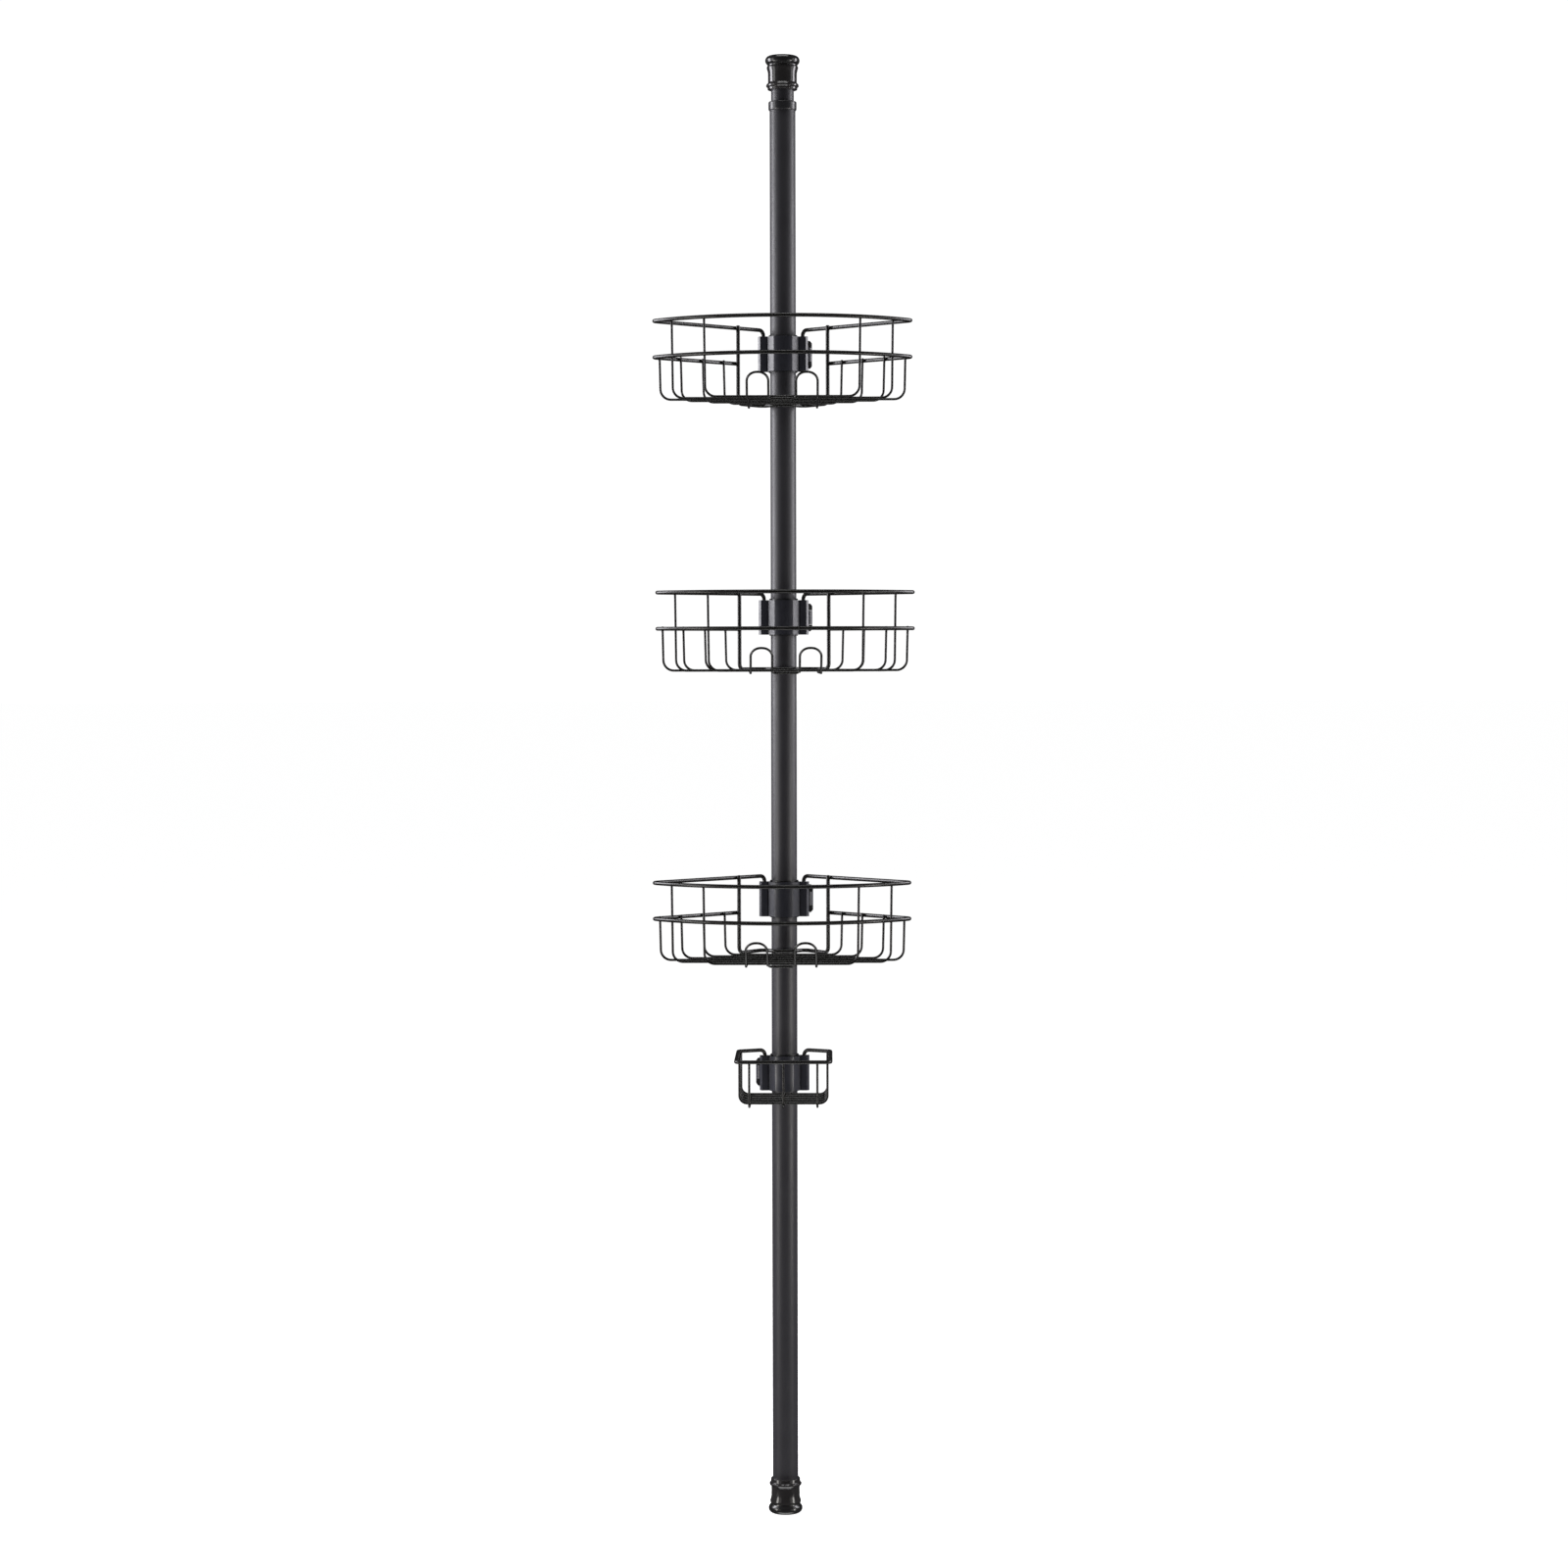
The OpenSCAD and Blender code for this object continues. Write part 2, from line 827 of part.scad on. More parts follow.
at_lower() top_rail();  // lower_top_rail
at_lower() mid_rail();  // lower_mid_rail
at_lower() front_wires();  // lower_front_wires
at_lower() rear_wires();  // lower_rear_wires
at_lower() saddle_wire();  // lower_saddle_wire
at_lower() hook_wire();  // lower_hook_wire

at_dish() dish_rim();
at_dish() dish_floor_wires();
at_dish() dish_front_wires();
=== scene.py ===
"""Looks for the tension-pole shower caddy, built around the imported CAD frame.

Lengths are in mm until link_piece scales them. A forward distance f is measured
from the pole axis towards the camera's side, so a point lies at y = -f.
"""

import json
import math

import bmesh
import bpy
from mathutils import Matrix, Vector


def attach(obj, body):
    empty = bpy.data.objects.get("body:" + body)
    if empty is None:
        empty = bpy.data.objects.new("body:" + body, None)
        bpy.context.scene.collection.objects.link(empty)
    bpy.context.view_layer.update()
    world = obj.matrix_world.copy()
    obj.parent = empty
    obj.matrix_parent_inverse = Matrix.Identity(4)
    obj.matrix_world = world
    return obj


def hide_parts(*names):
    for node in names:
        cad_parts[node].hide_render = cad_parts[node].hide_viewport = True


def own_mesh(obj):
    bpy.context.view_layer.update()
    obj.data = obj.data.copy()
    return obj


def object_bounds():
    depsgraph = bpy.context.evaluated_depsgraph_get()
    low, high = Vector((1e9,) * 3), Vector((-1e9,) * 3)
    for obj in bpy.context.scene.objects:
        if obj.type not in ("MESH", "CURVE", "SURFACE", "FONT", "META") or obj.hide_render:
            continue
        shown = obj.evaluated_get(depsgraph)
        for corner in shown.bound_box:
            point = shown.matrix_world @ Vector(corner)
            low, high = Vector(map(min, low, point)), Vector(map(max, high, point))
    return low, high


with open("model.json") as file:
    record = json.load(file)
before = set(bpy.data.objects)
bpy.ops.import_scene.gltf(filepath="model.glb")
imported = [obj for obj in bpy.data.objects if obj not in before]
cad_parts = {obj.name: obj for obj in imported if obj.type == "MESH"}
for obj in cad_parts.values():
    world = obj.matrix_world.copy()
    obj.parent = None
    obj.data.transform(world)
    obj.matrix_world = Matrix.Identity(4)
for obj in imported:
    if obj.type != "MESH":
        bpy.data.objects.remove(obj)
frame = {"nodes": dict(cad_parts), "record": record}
cad_low, cad_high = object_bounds()

MM = 0.001
NODES = frame["nodes"]

# ------------------------------------------------------------------ sizes, in mm
TUBE_R = 13.4
TUBE_BORE = 12.2
INNER_R = 11.8
INNER_BORE = 10.6
INNER_END = 390.0
PAD_H = 10.9
FOOT_H = 37.2
CAP_H = 35.4
TOP = cad_high.z / MM
COLLAR_TOP = 1478.3
COLLAR_R = 14.6
COLLAR_TALL = 9.0
FIT = 0.1
TIGHT_FIT = 0.02
SEAT_TOP = 1418.0
CAP_POCKET = 24.5
SKIRT_TALL = 59.0
SKIRT_BORE = 8.0
SPRING_R = 6.6
SPRING_WIRE = 0.75
SPRING_TURNS = 9

SOCKET_X = 20.5
SOCKET_F = 6.0
SOCKET_FLOOR = 12.0
RAIL_R = 2.0
THIN_R = 1.25
SINK = 0.04
RAIL_Z = 42.4
MID_Z = 5.8
FLOOR_Z = -36.5
FRONT_R = 164.0
FRONT_C = 21.0
CORNER_R = 9.0
FLOOR_BEND = 10.5
RUN_C = SOCKET_X - SOCKET_F
FRONT_W = 78.0
SIDE_W = 111.1
REAR_W = (124.3, 103.5, 81.7, 60.8)
SADDLE_W = 46.2
HOOK_OUT = 35.3
HOOK_IN = 13.8
HOOK_F = 183.5
HOOK_RISE = 22.6
HOOK_TAIL_F = 27.0
# how far wire ends stand proud above the rail they are welded to
FRONT_PROUD = 1.0
REAR_PROUD = 2.4
SADDLE_PROUD = 2.6
DISH_PROUD = 1.2
SOCKET_BEND = 5.6
HOOK_BEND = 10.2
# a floor wire's leg leans in by 1 mm over this height
LEG_TALL = 79.0
DISH_X = 48.2
DISH_F = 121.0
DISH_REAR_F = 20.0
DISH_FLOOR = -1.7
DISH_ROWS = (26, 45.5, 65, 84.5, 104)
DISH_COLUMNS = (-34.7, 0.0, 34.7)
DISH_TAIL_F = 22.6

# weld beads: half sizes across the crease and half height
RAIL_WELD = (1.9, 1.9, 0.85)
WIRE_WELD = (1.5, 1.6, 0.75)
FLOOR_WELD = (1.3, 1.3, 0.6)

# height of the clamp's lower face, and turn on the pole in degrees
STATIONS = {
    "upper": (1198.8, -0.3),
    "middle": (924.9, 0.75),
    "lower": (630.4, -1.1),
    "dish": (447.7, -0.7),
}

# centre of the corner arc that touches the 45 degree run and the bowed front
ROOT_2 = math.sqrt(2)
CORNER_K = CORNER_R * ROOT_2 - RUN_C - FRONT_C
CORNER_X = (-CORNER_K + math.sqrt(2 * (FRONT_R - CORNER_R) ** 2 - CORNER_K ** 2)) / 2
CORNER_F = CORNER_X - RUN_C + CORNER_R * ROOT_2
CORNER_A = math.atan2(CORNER_F - FRONT_C, CORNER_X)


# ------------------------------------------------------------------ materials
def new_material(name):
    mat = bpy.data.materials.new(name)
    mat.use_nodes = True
    tree = mat.node_tree
    tree.nodes.clear()
    out = tree.nodes.new("ShaderNodeOutputMaterial")
    shader = tree.nodes.new("ShaderNodeBsdfPrincipled")
    tree.links.new(shader.outputs["BSDF"], out.inputs["Surface"])
    return mat, tree, shader


def noise(tree, scale, detail):
    coords = tree.nodes.new("ShaderNodeTexCoord")
    tex = tree.nodes.new("ShaderNodeTexNoise")
    tex.inputs["Scale"].default_value = scale
    tex.inputs["Detail"].default_value = detail
    tex.inputs["Roughness"].default_value = 0.5
    tree.links.new(coords.outputs["Object"], tex.inputs["Vector"])
    return tex.outputs["Fac"]


def spread(tree, value, low, high):
    """Maps the usual range of a noise to low..high."""
    node = tree.nodes.new("ShaderNodeMapRange")
    node.inputs["From Min"].default_value = 0.3
    node.inputs["From Max"].default_value = 0.7
    node.inputs["To Min"].default_value = low
    node.inputs["To Max"].default_value = high
    tree.links.new(value, node.inputs["Value"])
    return node.outputs["Result"]


def blend_colours(tree, fac, a, b):
    node = tree.nodes.new("ShaderNodeMix")
    node.data_type = "RGBA"
    node.inputs[6].default_value = (*a, 1)
    node.inputs[7].default_value = (*b, 1)
    tree.links.new(fac, node.inputs[0])
    return node.outputs[2]


def bump(tree, heights, distance):
    """Bump from several (value, weight) heights, added up."""
    total = None
    for value, weight in heights:
        node = tree.nodes.new("ShaderNodeMath")
        node.operation = "MULTIPLY_ADD"
        tree.links.new(value, node.inputs[0])
        node.inputs[1].default_value = weight
        if total is None:
            node.inputs[2].default_value = 0
        else:
            tree.links.new(total, node.inputs[2])
        total = node.outputs[0]
    node = tree.nodes.new("ShaderNodeBump")
    node.inputs["Strength"].default_value = 1.0
    node.inputs["Distance"].default_value = distance
    tree.links.new(total, node.inputs["Height"])
    return node.outputs["Normal"]


def finish_material(name, dark, light, rough, grain, relief, patch,
                    metallic=0.0, level=0.5):
    """Painted or moulded surface: cloudy colour, uneven gloss and a fine grain.

    patch, grain: noise scales of the clouds and of the grain, per metre
    relief: depth of the grain in metres; level: specular level
    """
    mat, tree, shader = new_material(name)
    cloud = noise(tree, patch, 3.0)
    fine = noise(tree, grain, 2.0)
    speck = noise(tree, grain * 3.1, 1.0)
    shade = spread(tree, cloud, 0.0, 1.0)
    tree.links.new(blend_colours(tree, shade, dark, light), shader.inputs["Base Color"])
    streak = noise(tree, patch * 4, 4.0)
    tree.links.new(spread(tree, streak, rough[0], rough[1]), shader.inputs["Roughness"])
    tree.links.new(bump(tree, [(fine, 1.0), (speck, 0.35)], relief), shader.inputs["Normal"])
    shader.inputs["Metallic"].default_value = metallic
    shader.inputs["Specular IOR Level"].default_value = level
    return mat


MATERIALS = {
    # satin paint with a light orange peel
    "pole_paint": finish_material(
        "pole_paint", (0.0345, 0.0335, 0.040), (0.0405, 0.0395, 0.0465),
        (0.40, 0.47), 900, 0.00004, patch=9.0),
    "inner_paint": finish_material(
        "inner_paint", (0.0345, 0.0335, 0.040), (0.0405, 0.0395, 0.0465),
        (0.34, 0.40), 900, 0.00003, patch=9.0),
    # powder coat with a fine pebble
    "wire_coat": finish_material(
        "wire_coat", (0.007, 0.0066, 0.0062), (0.0105, 0.0098, 0.0091),
        (0.24, 0.32), 1500, 0.00004, patch=30.0, level=0.45),
    # satin moulded plastic, spark-eroded grain
    "clamp_plastic": finish_material(
        "clamp_plastic", (0.036, 0.037, 0.048), (0.042, 0.043, 0.056),
        (0.28, 0.35), 2600, 0.00002, patch=40.0),
    "lever_plastic": finish_material(
        "lever_plastic", (0.0055, 0.0055, 0.006), (0.008, 0.008, 0.0085),
        (0.42, 0.52), 2400, 0.00004, patch=40.0, level=0.06),
    "liner_plastic": finish_material(
        "liner_plastic", (0.012, 0.012, 0.0135), (0.016, 0.016, 0.018),
        (0.34, 0.44), 2200, 0.00003, patch=40.0),
    "collar_plastic": finish_material(
        "collar_plastic", (0.024, 0.024, 0.027), (0.029, 0.029, 0.032),
        (0.24, 0.31), 1400, 0.00001, patch=40.0),
    "end_plastic": finish_material(
        "end_plastic", (0.026, 0.0245, 0.0255), (0.031, 0.029, 0.030),
        (0.12, 0.18), 1200, 0.00001, patch=40.0),
    "end_rubber": finish_material(
        "end_rubber", (0.015, 0.0148, 0.0155), (0.020, 0.0195, 0.0205),
        (0.15, 0.22), 1500, 0.00002, patch=45.0),
    "lock_plastic": finish_material(
        "lock_plastic", (0.56, 0.55, 0.52), (0.62, 0.61, 0.58),
        (0.36, 0.46), 1800, 0.00003, patch=60.0),
    "steel": finish_material(
        "steel", (0.36, 0.36, 0.37), (0.47, 0.47, 0.48),
        (0.22, 0.36), 1400, 0.00002, patch=120.0, metallic=1.0),
}


# ------------------------------------------------------------------ mesh helpers
def link_piece(name, bm, body, slot, stands_for=(), sharp=40.0):
    """Turns a bmesh in mm into a piece that rides on a body."""
    bmesh.ops.scale(bm, vec=(MM, MM, MM), verts=bm.verts)
    bmesh.ops.recalc_face_normals(bm, faces=bm.faces)
    limit = math.radians(sharp)
    for face in bm.faces:
        face.smooth = True
    for edge in bm.edges:
        if len(edge.link_faces) == 2 and edge.calc_face_angle() > limit:
            edge.smooth = False
    mesh = bpy.data.meshes.new(name)
    bm.to_mesh(mesh)
    bm.free()
    obj = bpy.data.objects.new(name, mesh)
    bpy.context.scene.collection.objects.link(obj)
    mesh.materials.append(MATERIALS[slot])
    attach(obj, body)
    if stands_for:
        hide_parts(*stands_for)
    return obj


def rounded(points, radii, step=9.0):
    """Points of an open path with each inner corner bent to its radius."""
    pts = [Vector(p).to_3d() for p in points]
    path = [pts[0]]
    for before, here, after, radius in zip(pts, pts[1:], pts[2:], radii[1:]):
        u, v = (before - here).normalized(), (after - here).normalized()
        half = math.acos(max(-1.0, min(1.0, u.dot(v)))) / 2
        if radius <= 0 or half > math.pi / 2 - 1e-4:
            path.append(here)
            continue
        start = here + u * radius / math.tan(half)
        centre = here + (u + v).normalized() * radius / math.sin(half)
        turn = math.pi - 2 * half
        n = max(2, math.ceil(math.degrees(turn) / step))
        e1, e2 = (start - centre).normalized(), -u
        path += [centre + (e1 * math.cos(turn * i / n) + e2 * math.sin(turn * i / n)) * radius
                 for i in range(n + 1)]
    path.append(pts[-1])
    return path


def sweep(bm, path, radius, sides=14, tip=0.45):
    """Round wire along a path, its cut ends rounded over by tip times the radius."""
    rings = []
    heading = (path[1] - path[0]).normalized()
    across = heading.orthogonal().normalized()
    last = len(path) - 1
    lean = radius * tip
    for i, p in enumerate(path):
        ahead = (path[min(i + 1, last)] - p).normalized() if i < last else None
        behind = (p - path[i - 1]).normalized() if i else None
        here = ((ahead or behind) + (behind or ahead)).normalized()
        across = heading.rotation_difference(here) @ across
        heading = here
        up = heading.cross(across)
        if i == 0:
            steps = [(lean * (1 - math.cos(a)), lean * (1 - math.sin(a))) for a in (0, 0.8)]
        elif i == last:
            steps = [(-lean * (1 - math.cos(a)), lean * (1 - math.sin(a))) for a in (0.8, 0)]
        else:
            steps = [(0.0, 0.0)]
        if i == last:
            rings.append((p - heading * lean, across, up, radius))
        for shift, shrink in steps:
            rings.append((p + heading * shift, across, up, radius - shrink))
        if i == 0:
            rings.append((p + heading * lean, across, up, radius))
    made = []
    for p, a, b, r in rings:
        made.append([bm.verts.new(p + (a * math.cos(t) + b * math.sin(t)) * r)
                     for t in (2 * math.pi * j / sides for j in range(sides))])
    for low, high in zip(made, made[1:]):
        for j in range(sides):
            k = (j + 1) % sides
            bm.faces.new((low[j], low[k], high[k], high[j]))
    bm.faces.new(list(reversed(made[0])))
    bm.faces.new(made[-1])


def lathe(bm, profile, sides=96, closed=True):
    """Turned solid about the Z axis from (radius, height) points."""
    rings = []
    for r, z in profile:
        if r < 1e-4:
            rings.append([bm.verts.new((0, 0, z))])
        else:
            rings.append([bm.verts.new((r * math.cos(t), r * math.sin(t), z))
                          for t in (2 * math.pi * j / sides for j in range(sides))])
    pairs = list(zip(rings, rings[1:]))
    if closed:
        pairs.append((rings[-1], rings[0]))
    for a, b in pairs:
        for j in range(sides):
            k = (j + 1) % sides
            if len(a) == 1 and len(b) == 1:
                continue
            if len(a) == 1:
                bm.faces.new((a[0], b[k], b[j]))
            elif len(b) == 1:
                bm.faces.new((a[j], a[k], b[0]))
            else:
                bm.faces.new((a[j], a[k], b[k], b[j]))


def fillet_profile(corners, step=15.0):
    """Open (radius, height, fillet) corner list to plain profile points."""
    path = rounded([(r, z, 0) for r, z, _ in corners], [f for _, _, f in corners], step)
    return [(p.x, p.y) for p in path]


# ------------------------------------------------------------------ pole
def pad_profile():
    """Rubber pad, its face at height 0, as an open profile from axis to axis."""
    belly = [(12.9 + 5 * math.sin(a), 5.2 - 5 * math.cos(a))
             for a in (math.radians(d) for d in range(6, 127, 8))]
    face = fillet_profile([(0, 0, 0), (5.1, 0, 0), (5.1, 0.75, 0.2), (5.9, 0.75, 0.2),
                           (5.9, 0, 0.2), (8.6, 0, 0.2), (8.6, 0.75, 0.2), (9.4, 0.75, 0.2),
                           (9.4, 0, 0.2), (12.9, 0, 0)], 30)
    back = fillet_profile([belly[-1] + (0,), (15.6, 9.6, 0.5), (15.4, PAD_H, 0.3),
                           (8.0, PAD_H, 0), (8.0, PAD_H - 5, 0), (0, PAD_H - 5, 0)], 20)
    return face[:-1] + belly + back[1:]


def cup_profile(bore, end):
    """Gloss end cup from the pad's back to its lip, as an open profile from axis to axis."""
    z = PAD_H
    return fillet_profile([
        (0, z - 4.8, 0), (7.95, z - 4.8, 0.3), (7.95, z, 0), (16.0, z, 0.6),
        (16.35, z + 2.1, 1.3), (15.0, z + 6.6, 9.0), (14.95, z + 17.4, 1.6),
        (16.3, z + 18.6, 0.5), (16.9, z + 19.6, 0.6), (16.9, z + 21.0, 0.7),
        (15.45, z + 22.3, 0.7), (15.4, end, 0.7),
        (bore, end, 0.4), (bore, z + 2, 0), (0, z + 2, 0)], 12)


def turned(name, profile, body, slot, node, flip=False, closed=False, sides=96):
    bm = bmesh.new()
    lathe(bm, profile, sides, closed)
    if flip:
        bmesh.ops.scale(bm, vec=(1, 1, -1), verts=bm.verts)
        bmesh.ops.translate(bm, vec=(0, 0, TOP), verts=bm.verts)
    return link_piece(name, bm, body, slot, [node])


turned("foot_pad_rubber", pad_profile(), "pole", "end_rubber", "foot_pad")
turned("foot_cup", cup_profile(TUBE_R + TIGHT_FIT, FOOT_H), "pole", "end_plastic",
       "foot_socket")
turned("top_pad_rubber", pad_profile(), "cap", "end_rubber", "top_pad", flip=True)


def cap_profile():
    """Cap cup with the guide skirt that runs inside the inner tube."""
    # Known fault: [:-2] also drops the bore's inner corner, so the wall behind the lip is
    # a cone that cuts into the inner tube's end, out of sight. [:-1] would keep the corner.
    floor_z = PAD_H + 2
    end_z = PAD_H + SKIRT_TALL
    outer = cup_profile(INNER_R + FIT, CAP_H)[:-2]
    fit = INNER_BORE - FIT
    skirt = fillet_profile([(INNER_R + FIT, floor_z, 0), (fit, floor_z, 0), (fit, end_z, 0.8),
                            (SKIRT_BORE, end_z, 0.4), (SKIRT_BORE, CAP_POCKET, 0),
                            (0, CAP_POCKET, 0)], 30)
    return outer + skirt[1:]


turned("cap_cup", cap_profile(), "cap", "end_plastic", "cap_socket", flip=True)



def tube_profile(outer, bore, low, high):
    """Closed profile of a tube with its ends broken, begun part way up the bore."""
    middle = 0.5 * (low + high)
    return fillet_profile([(bore, middle, 0), (bore, low, 0.2), (outer, low, 0.3),
                           (outer, high, 0.3), (bore, high, 0.2), (bore, middle, 0)], 30)[:-1]


turned("outer_tube_painted", tube_profile(TUBE_R, TUBE_BORE, PAD_H + 2, COLLAR_TOP - 2),
       "pole", "pole_paint", "outer_tube", closed=True, sides=128)
turned("inner_tube_painted", tube_profile(INNER_R, INNER_BORE, INNER_END, TOP - 28),
       "inner_pole", "inner_paint", "inner_tube", closed=True, sides=128)


def collar_profile():
    """Closed profile of the ring on the outer tube's upper end."""
    rim, cut = INNER_R + FIT, TUBE_R + TIGHT_FIT
    top, low = COLLAR_TOP, COLLAR_TOP - COLLAR_TALL
    return fillet_profile([
        (rim, top - 1.5, 0), (rim, top, 0.3), (COLLAR_R - 0.4, top, 0.6),
        (COLLAR_R, top - 0.8, 0.5), (COLLAR_R, low + 1.2, 0.5), (COLLAR_R - 0.5, low, 0.4),
        (cut, low, 0.2), (cut, top - 2, 0), (rim, top - 2, 0.1), (rim, top - 1.5, 0)], 18)[:-1]


turned("tube_collar_ring", collar_profile(), "pole", "collar_plastic", "tube_collar",
       closed=True)


def tension_spring():
    """Coil under the cap, its end turns closed."""
    clear = SPRING_WIRE + 0.15
    start = SEAT_TOP + clear
    height = TOP - CAP_POCKET - clear - start
    closed = 2.1 * SPRING_WIRE
    pitch = (height - 2 * closed) / (SPRING_TURNS - 2)
    path = []
    for i in range(SPRING_TURNS * 36 + 1):
        turns = i / 36
        middle = max(0.0, min(turns - 1, SPRING_TURNS - 2))
        rise = pitch * middle + closed * (turns - middle)
        a = 2 * math.pi * turns
        path.append(Vector((SPRING_R * math.cos(a), SPRING_R * math.sin(a), start + rise)))
    bm = bmesh.new()
    sweep(bm, path, SPRING_WIRE, 10)
    coil = link_piece("cap_spring_coil", bm, "inner_pole", "steel", ["cap_spring"])
    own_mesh(coil)


tension_spring()


# ------------------------------------------------------------------ baskets
def inner_f(w):
    """Forward distance of a front floor wire that touches the rail from inside at half width w."""
    return FRONT_C + math.sqrt((FRONT_R - RAIL_R - THIN_R + SINK) ** 2 - w * w)


def half_plan(z):
    """Right half of a rail from its straight run's end round the corner to the front middle."""
    pts = []
    corner_steps, front_steps = 12, 22
    for i in range(corner_steps + 1):
        a = math.radians(45) - (math.radians(45) + CORNER_A) * i / corner_steps
        pts.append(Vector((CORNER_X + CORNER_R * math.cos(a),
                           -CORNER_F + CORNER_R * math.sin(a), z)))
    for i in range(1, front_steps + 1):
        a = -CORNER_A - (math.pi / 2 - CORNER_A) * i / front_steps
        pts.append(Vector((FRONT_R * math.cos(a), -FRONT_C + FRONT_R * math.sin(a), z)))
    return pts


def mirrored(half):
    """Whole path from its right half, which ends on the middle plane."""
    left = [Vector((-p.x, p.y, p.z)) for p in half[:-1]]
    return left + [half[-1]] + [Vector(p) for p in reversed(half[:-1])]


def top_rail_path():
    plan = half_plan(RAIL_Z)
    start = rounded([(SOCKET_X, -SOCKET_F, SOCKET_FLOOR + 0.05), (SOCKET_X, -SOCKET_F, RAIL_Z),
                     plan[0]], [0, SOCKET_BEND, 0])
    return mirrored(start[:-1] + plan)


def mid_rail_path():
    plan = half_plan(MID_Z)
    return mirrored([Vector((SADDLE_W, RUN_C - SADDLE_W, MID_Z))] + plan)


def u_wire(w, f, top):
    """Floor wire at forward distance f, its two legs up to top."""
    return rounded([(-w, -f, top), (1 - w, -f, FLOOR_Z), (w - 1, -f, FLOOR_Z), (w, -f, top)],
                   [0, FLOOR_BEND, FLOOR_BEND, 0])


def rear_f(w):
    """Forward distance of a rear floor wire that touches the straight run at half width w."""
    return w - RUN_C + (RAIL_R + THIN_R - SINK) * ROOT_2


SADDLE_F = SADDLE_W - RUN_C + (2 * RAIL_R - SINK) * ROOT_2


def saddle_path():
    """Heavy wire that passes round the front of the pole under the clamp."""
    w, f = SADDLE_W, SADDLE_F
    z, top = FLOOR_Z + RAIL_R - THIN_R, RAIL_Z + SADDLE_PROUD
    return rounded([(-w, -f, top), (-w, -f, z), (-21.5, -1.5, z), (-10, -16, z),
                    (10, -16, z), (21.5, -1.5, z), (w, -f, z), (w, -f, top)],
                   [0, 6, 6, 8, 8, 6, 6, 0])


def hook_path():
    """One wire bent into both cloth hooks, its tails under the floor wires."""
    xo, xi = HOOK_OUT, HOOK_IN
    zb = FLOOR_Z - 2 * THIN_R + SINK
    zt = FLOOR_Z + HOOK_RISE
    foot = inner_f(FRONT_W) + 2 * THIN_R - SINK + 2
    left = [(-xo, -HOOK_TAIL_F, zb), (-xo, -foot, zb), (-xo, -HOOK_F, zt),
            (-xi, -HOOK_F, zt), (-xi, -foot, zb)]
    bends = [0, 4, HOOK_BEND, HOOK_BEND, 4]
    right = [(-x, y, z) for x, y, z in reversed(left)]
    return rounded(left + right, bends + bends[::-1], 7.5)


def place(bm, station):
    z, yaw = STATIONS[station]
    bmesh.ops.rotate(bm, matrix=Matrix.Rotation(math.radians(yaw), 3, "Z"), verts=bm.verts)
    bmesh.ops.translate(bm, vec=(0, 0, z), verts=bm.verts)


def wires(name, paths, radius, station, body, nodes, sides=14):
    bm = bmesh.new()
    for path in paths:
        sweep(bm, path, radius, sides)
    place(bm, station)
    return link_piece(name, bm, body, "wire_coat", nodes)


def nugget(bm, at, a, b, size):
    """Weld between two touching wires: a flat bead that fills the crease."""
    half_a, half_b, height = size
    a, b = a.normalized(), b.normalized()
    c = a.cross(b).normalized()
    rows, n = 6, 10
    rings = []
    for i in range(rows + 1):
        t = math.pi * i / rows
        r, h = math.sin(t), math.cos(t)
        if i in (0, rows):
            rings.append([bm.verts.new(at + c * h * height)])
            continue
        rings.append([bm.verts.new(at + a * half_a * r * math.cos(s) + b * half_b * r * math.sin(s)
                                   + c * h * height)
                      for s in (2 * math.pi * j / n for j in range(n))])
    for low, high in zip(rings, rings[1:]):
        for j in range(n):
            k = (j + 1) % n
            if len(low) == 1:
                bm.faces.new((low[0], high[j], high[k]))
            elif len(high) == 1:
                bm.faces.new((low[j], high[0], low[k]))
            else:
                bm.faces.new((low[j], high[j], high[k], low[k]))


SIDEWAYS, BACK, UP = Vector((1, 0, 0)), Vector((0, 1, 0)), Vector((0, 0, 1))


def basket_welds(bm):
    """Every place where two wires of a basket touch."""
    for s in (-1, 1):
        for w in (FRONT_W, SIDE_W):
            f = inner_f(w)
            out = Vector((s * w, -(f - FRONT_C), 0)).normalized()
            along = Vector((-out.y, out.x, 0))
            for z in (RAIL_Z, MID_Z):
                at = Vector((s * (w - (RAIL_Z - z) / LEG_TALL), -f, z)) + out * THIN_R
                nugget(bm, at, UP, along, WIRE_WELD)
        run = Vector((s, -1, 0)).normalized()
        off = Vector((s, 1, 0)).normalized()
        for w in REAR_W:
            at = Vector((s * (w - 0.5), -rear_f(w), MID_Z)) + off * THIN_R
            nugget(bm, at, UP, run, WIRE_WELD)
        leg = Vector((s * SADDLE_W, -SADDLE_F, 0))
        for z in (RAIL_Z, MID_Z):
            nugget(bm, leg + off * RAIL_R + UP * z, UP, run, RAIL_WELD)
    under = FLOOR_Z - THIN_R + SINK / 2
    for x in (-HOOK_OUT, HOOK_OUT):
        for f in [inner_f(FRONT_W), inner_f(SIDE_W)] + [rear_f(w) for w in REAR_W]:
            nugget(bm, Vector((x, -f, under)), SIDEWAYS, BACK, FLOOR_WELD)
    for x in (-HOOK_IN, HOOK_IN):
        at = Vector((x, -inner_f(FRONT_W) - THIN_R, FLOOR_Z - 1.2))
        nugget(bm, at, SIDEWAYS, UP, FLOOR_WELD)


